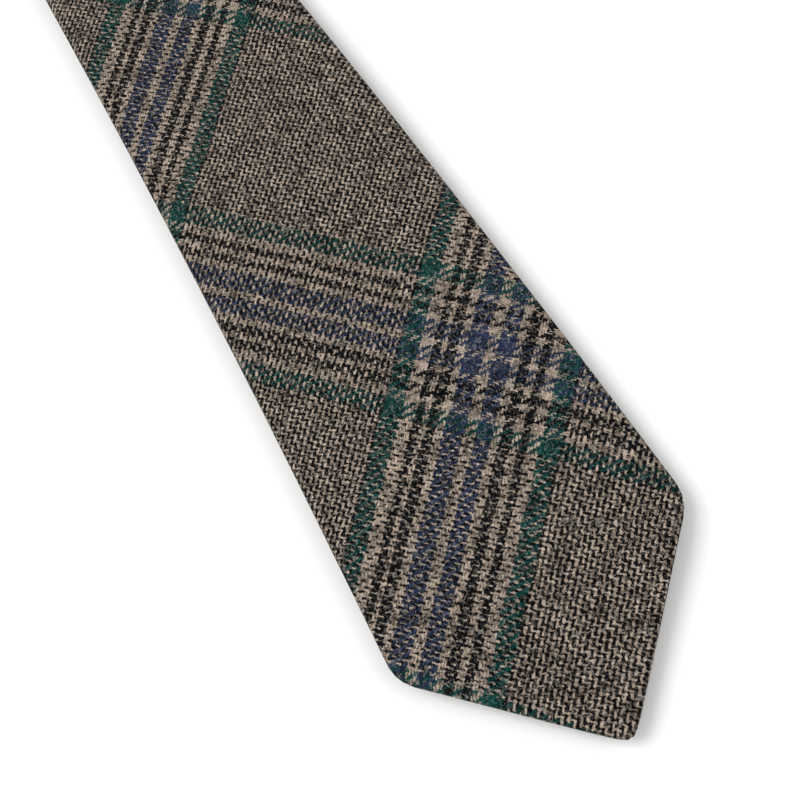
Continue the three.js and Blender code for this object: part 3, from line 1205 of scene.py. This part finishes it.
@dataclass
class Tack:
    """A bar of thread wraps sewn at one place, inside the box of its node."""

    node: str
    thread: float = 0.42 * MM

    def build(self, form: TieForm, name: str, material: bpy.types.Material) -> bpy.types.Object:
        """Makes the bar: two long stitches, wound closely from end to end.

        Args:
            form: how the tie lies.
            name: the piece's name.
            material: the thread's finish.

        Returns:
            The object.
        """
        low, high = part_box(self.node)
        centre, size = np.array((low + high) / 2), np.array(high - low)
        long_axis = int(np.argmax(size[:2]))
        wide_axis = 1 - long_axis
        radius = self.thread / 2
        turns = int(size[long_axis] / self.thread)
        angle = np.linspace(0, 2 * math.pi * turns, turns * 12)
        line = np.zeros((len(angle), 3))
        line[:, long_axis] = np.linspace(-0.5, 0.5, len(angle)) * (size[long_axis] - self.thread)
        uneven = 1 + 0.06 * np.sin(angle * 0.37)
        line[:, wide_axis] = np.cos(angle) * (size[wide_axis] / 2 - radius) * uneven
        line[:, 2] = np.sin(angle) * max(size[2] / 2 - radius * 0.4, radius * 0.6)
        cores = []
        for side in (-1, 1):
            core = np.zeros((12, 3))
            core[:, long_axis] = np.linspace(-0.5, 0.5, 12) * (size[long_axis] + 1.2 * MM)
            core[:, wide_axis] = side * size[wide_axis] * 0.18
            cores.append(core)
        along = np.array([centre[1] - form.start_y])
        unbent = np.array([centre[0], centre[1], form.thickness + form.layer_gap])
        shift = form.place(along, centre[:1], 0.0)[0] - unbent
        runs = [ThreadRun(points + centre + shift * (1, 0, 1), radius) for points in (line, *cores)]
        piece = sew(name, runs, material)
        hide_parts(self.node)
        return piece


@dataclass
class SlipStitch:
    """The loose thread that closes the back seam, laced from one flap to the other."""

    form: TieForm
    start: float
    end: float
    pitch: float = 8.0 * MM
    thread: float = 0.40 * MM
    reach: float = 1.5 * MM

    def line(self) -> np.ndarray:
        """The thread's line: it crosses the seam at each stitch and runs under a flap between them."""
        count = int((self.end - self.start) / (0.5 * MM))
        s = np.linspace(self.start, self.end, count)
        phase = (s - self.start) / self.pitch * math.pi
        across = np.clip(1.6 * np.sin(phase), -1, 1) * self.reach
        under = 1 - np.exp(-((across / (0.7 * MM)) ** 2))
        h = 0.15 * MM + under * 0.95 * MM
        return self.form.place(s, across, h)

    def build(self, name: str, material: bpy.types.Material) -> bpy.types.Object:
        """Makes the thread."""
        return sew(name, [ThreadRun(self.line(), self.thread / 2, 6)], material)


@dataclass
class SeamStitch:
    """The running stitch along a bias seam, sunk between the two cuts."""

    form: TieForm
    seam: float
    stitch: float = 2.4 * MM
    thread: float = 0.34 * MM

    def build(self, name: str, node: str, material: bpy.types.Material) -> bpy.types.Object:
        """Makes the stitches across the front of the neck.

        Args:
            name: the piece's name.
            node: the CAD node that it stands for.
            material: the thread's finish.

        Returns:
            The object.
        """
        form = self.form
        half = form.neck_half - 1.2 * MM
        x = np.linspace(-half, half, int(2 * half / (0.25 * MM)))
        sunk = form.thickness - 0.72 * MM + 0.12 * MM * np.sin(x / self.stitch * 2 * math.pi)
        s = self.seam + x + 0.12 * MM * np.cos(x / self.stitch * 2 * math.pi)
        piece = sew(name, [ThreadRun(form.place(s, x, sunk), self.thread / 2, 6)], material)
        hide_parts(node)
        return piece


@dataclass
class KeeperLoop:
    """The band of shell cloth behind the front blade that holds the tail."""

    form: TieForm
    grain: Grain = Grain(warp_start=-31.0 * MM, weft_start=12.0 * MM)

    def build(self, wardrobe: Wardrobe) -> list[bpy.types.Object]:
        """Makes the band, folded into a flat tube, and its two tacks."""
        low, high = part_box("keeper_loop")
        size, centre = high - low, (low + high) / 2
        form = self.form
        cloth = size.z * 0.42
        edge = np.array([0, 0.001, 0.004, 0.012])
        rows = np.concatenate([edge, np.linspace(0.03, 0.97, 54), 1 - edge[::-1]])
        radius = (size.z - cloth) / 2
        half = size.y / 2 - cloth / 2
        turn = np.linspace(0, math.pi, 9)
        flat = np.linspace(-1, 1, 16) * (half - radius)
        seam = 0.25 * MM
        lip = np.array([0.0, 0.05, 0.2]) * MM
        right_back = np.concatenate([np.linspace(half - radius, seam + 0.5 * MM, 7)[1:], seam + lip[::-1]])
        across = np.concatenate([
            -right_back[::-1], -(half - radius) - radius * np.sin(turn[:-1]), flat,
            half - radius + radius * np.sin(turn[1:]), right_back])
        height = np.concatenate([
            np.full(len(right_back), radius), radius * np.cos(turn[:-1]), np.full(len(flat), -radius),
            -radius * np.cos(turn[1:]), np.full(len(right_back), radius)])
        girth = np.concatenate([[0.0], np.cumsum(np.hypot(np.diff(across), np.diff(height)))])
        girth -= girth[-1] / 2
        x = np.repeat((low.x + size.x * rows)[:, None], len(across), axis=1)
        pinch = 1 - 0.10 * np.exp(-(((rows - 0.5) / 0.5) ** 2) * 3)[:, None]
        y = centre.y + across[None, :] * pinch
        s = y - form.start_y
        lie = form.place(s, x, 0.0)
        z = lie[..., 2] - form.thickness - form.layer_gap + centre.z + height[None, :]
        middle = np.stack([lie[..., 0], y, z], -1)[:, ::-1]
        threads = self.grain.threads(np.broadcast_to(girth[None, ::-1], x.shape), x)
        sheet = ClothSheet(middle, threads, cloth)
        band = sheet.build("keeper_band", wardrobe.wool)
        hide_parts("keeper_loop")
        tacks = [
            Tack(f"keeper_tack_{side}").build(form, f"keeper_{side}_stitches", wardrobe.thread)
            for side in ("left", "right")
        ]
        return [band, *tacks]


@dataclass
class FrontBlade:
    """The wide blade from its point to the bias seam, with what is in and on it."""

    form: TieForm
    folds: FoldPlan
    lining_end: float = 0.165

    def build(self, wardrobe: Wardrobe) -> None:
        """Makes the blade's cloth, interlining, tipping, stitches and keeper."""
        form, fold = self.form, self.folds.front
        cloth = ShellCut(
            form, "front_cloth", form.point_inset(), form.front_seam - SEAM_HALF, Finish.POINT, Finish.SEAM)
        fold.carry(cloth.build(wardrobe), "front_blade_shell", "front_upper_shell")
        canvas = FlatPly(
            form, "front_interlining", CANVAS_INSET, form.front_run - MM, CANVAS_HEIGHT, CANVAS_CLOTH)
        piece = canvas.build(wardrobe.canvas, "interlining")
        fold.carry(piece, "interlining_front", "interlining_front_upper")
        lining = FlatPly(
            form, "front_tip_lining", LINING_INSET, self.lining_end, LINING_HEIGHT, LINING_CLOTH,
            step=2 * MM, columns=44)
        piece = lining.build(wardrobe.satin, "tipping")
        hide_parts("front_tipping")
        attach(piece, "front_blade")
        thread = SlipStitch(form, form.front_vee + 5 * MM, form.front_run - 2 * MM)
        piece = thread.build("front_slip_thread", wardrobe.thread)
        fold.carry(piece, "slip_stitch_front", "slip_stitch_front_upper")
        for piece in (Tack("front_bar_tack").build(form, "front_tack_thread", wardrobe.thread),
                      *KeeperLoop(form).build(wardrobe)):
            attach(piece, "front_blade")


@dataclass
class NeckPiece:
    """The length of shell between the two bias seams, bent round the neck, with its seams."""

    form: TieForm
    folds: FoldPlan

    def build(self, wardrobe: Wardrobe) -> None:
        """Makes the neck's cloth and the stitches of both seams."""
        form = self.form
        cloth = ShellCut(
            form, "neck_cloth", form.front_seam + SEAM_HALF, form.tail_seam - SEAM_HALF,
            Finish.SEAM, Finish.SEAM, Grain(warp_start=-22.0 * MM, weft_start=9.0 * MM),
            front_columns=26, back_columns=12)
        self.folds.neck.carry(cloth.build(wardrobe), "neck_shell_front", "neck_shell_tail")
        for side, seam in (("front", form.front_seam), ("tail", form.tail_seam)):
            stitch = SeamStitch(form, seam)
            piece = stitch.build(f"{side}_seam_thread", f"{side}_bias_seam", wardrobe.thread)
            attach(piece, f"{side}_upper")


@dataclass
class Tail:
    """The narrow blade, from the bias seam to its point."""

    form: TieForm
    folds: FoldPlan
    lining_end: float = 0.095

    def build(self, wardrobe: Wardrobe) -> None:
        """Makes the tail's cloth, interlining, tipping and stitches."""
        form, fold = self.form, self.folds.tail
        cloth = ShellCut(
            form, "tail_cloth", form.tail_seam + SEAM_HALF, form.length - form.point_inset(),
            Finish.SEAM, Finish.POINT, Grain(warp_start=14.0 * MM, weft_start=-40.0 * MM),
            front_columns=30, back_columns=14)
        fold.carry(cloth.build(wardrobe), "tail_upper_shell", "tail_blade_shell")
        bend_end = form.front_run + form.bend_run
        canvas = FlatPly(
            form, "tail_interlining", bend_end + MM, form.length - CANVAS_INSET, CANVAS_HEIGHT, CANVAS_CLOTH,
            columns=18)
        piece = canvas.build(wardrobe.canvas, "interlining")
        fold.carry(piece, "interlining_tail", "interlining_tail_upper")
        lining = FlatPly(
            form, "tail_tip_lining", form.length - self.lining_end, form.length - LINING_INSET,
            LINING_HEIGHT, LINING_CLOTH, step=2 * MM, columns=26)
        piece = lining.build(wardrobe.satin, "tipping")
        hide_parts("tail_tipping")
        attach(piece, "tail_blade")
        thread = SlipStitch(form, bend_end + 2 * MM, form.length - form.tail_vee - 5 * MM)
        piece = thread.build("tail_slip_thread", wardrobe.thread)
        fold.carry(piece, "slip_stitch_tail", "slip_stitch_tail_upper")
        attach(Tack("tail_bar_tack").build(form, "tail_tack_thread", wardrobe.thread), "tail_blade")


# --- the studio ---


@dataclass
class Studio:
    """Plain pale floor, soft light and the camera."""

    floor_size: float = 8.0
    lens: float = 58.0
    target: Vector = field(default_factory=lambda: Vector((-0.0041, -0.2830, 0.0089)))
    sight: Vector = field(default_factory=lambda: Vector((0.0116, 0.3930, -0.9195)))
    distance: float = 0.3174
    roll: float = math.radians(30.64)
    floor_drop: float = 0.2 * MM

    def floor(self) -> None:
        """Makes the floor."""
        half = self.floor_size / 2
        corners = [(-half, -half, 0), (half, -half, 0), (half, half, 0), (-half, half, 0)]
        mesh = bpy.data.meshes.new("floor")
        mesh.from_pydata(corners, [], [(0, 1, 2, 3)])
        made = bpy.data.objects.new("floor", mesh)
        made.location.z = -self.floor_drop
        bpy.context.scene.collection.objects.link(made)
        material = bpy.data.materials.new("pale_floor")
        material.use_nodes = True
        shader = material.node_tree.nodes["Principled BSDF"]
        shader.inputs["Base Color"].default_value = (0.88, 0.88, 0.875, 1.0)
        shader.inputs["Roughness"].default_value = 0.9
        mesh.materials.append(material)
        made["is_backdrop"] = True

    def lights(self) -> None:
        """Makes an even sky and two large soft lamps."""
        world = bpy.data.worlds.new("studio_sky")
        world.use_nodes = True
        sky = world.node_tree.nodes["Background"]
        sky.inputs["Color"].default_value = (1.0, 1.0, 1.0, 1.0)
        sky.inputs["Strength"].default_value = 0.68
        bpy.context.scene.world = world
        for name, place, size, power in (
            ("key_lamp", (-0.9, 0.35, 1.5), 1.1, 22.0),
            ("fill_lamp", (1.1, -1.0, 1.2), 1.4, 8.0),
        ):
            lamp = bpy.data.lights.new(name, "AREA")
            lamp.size, lamp.energy = size, power
            made = bpy.data.objects.new(name, lamp)
            made.location = place
            made.rotation_euler = (Vector((0, -0.15, 0)) - Vector(place)).to_track_quat("-Z", "Y").to_euler()
            bpy.context.scene.collection.objects.link(made)

    def camera(self) -> None:
        """Makes the camera, close over the front blade."""
        data = bpy.data.cameras.new("camera")
        data.lens, data.sensor_width = self.lens, 36.0
        data.clip_start, data.clip_end = 0.01, 50.0
        made = bpy.data.objects.new("camera", data)
        sight = self.sight.normalized()
        right = sight.cross(Vector((0, 0, 1))).normalized()
        up = right.cross(sight)
        rolled = up * math.cos(self.roll) + right * math.sin(self.roll)
        side = sight.cross(rolled)
        made.location = self.target - sight * self.distance
        made.rotation_mode = "QUATERNION"
        axes = np.array([side, rolled, -sight]).T
        made.rotation_quaternion = Matrix(axes.tolist()).to_quaternion()
        bpy.context.scene.collection.objects.link(made)
        bpy.context.scene.camera = made

    def build(self) -> None:
        """Makes the whole studio."""
        bpy.context.scene.view_settings.view_transform = "Standard"
        self.floor()
        self.lights()
        self.camera()


def main() -> None:
    """Builds the studio and the tie."""
    logging.basicConfig(level=logging.INFO, format="%(name)s: %(message)s")
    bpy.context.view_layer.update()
    Studio().build()
    wardrobe = Wardrobe()
    form = TieForm()
    folds = FoldPlan(form)
    for part in (FrontBlade(form, folds), NeckPiece(form, folds), Tail(form, folds)):
        part.build(wardrobe)
        LOG.info("built %s", type(part).__name__)


if __name__ == "__main__":
    main()
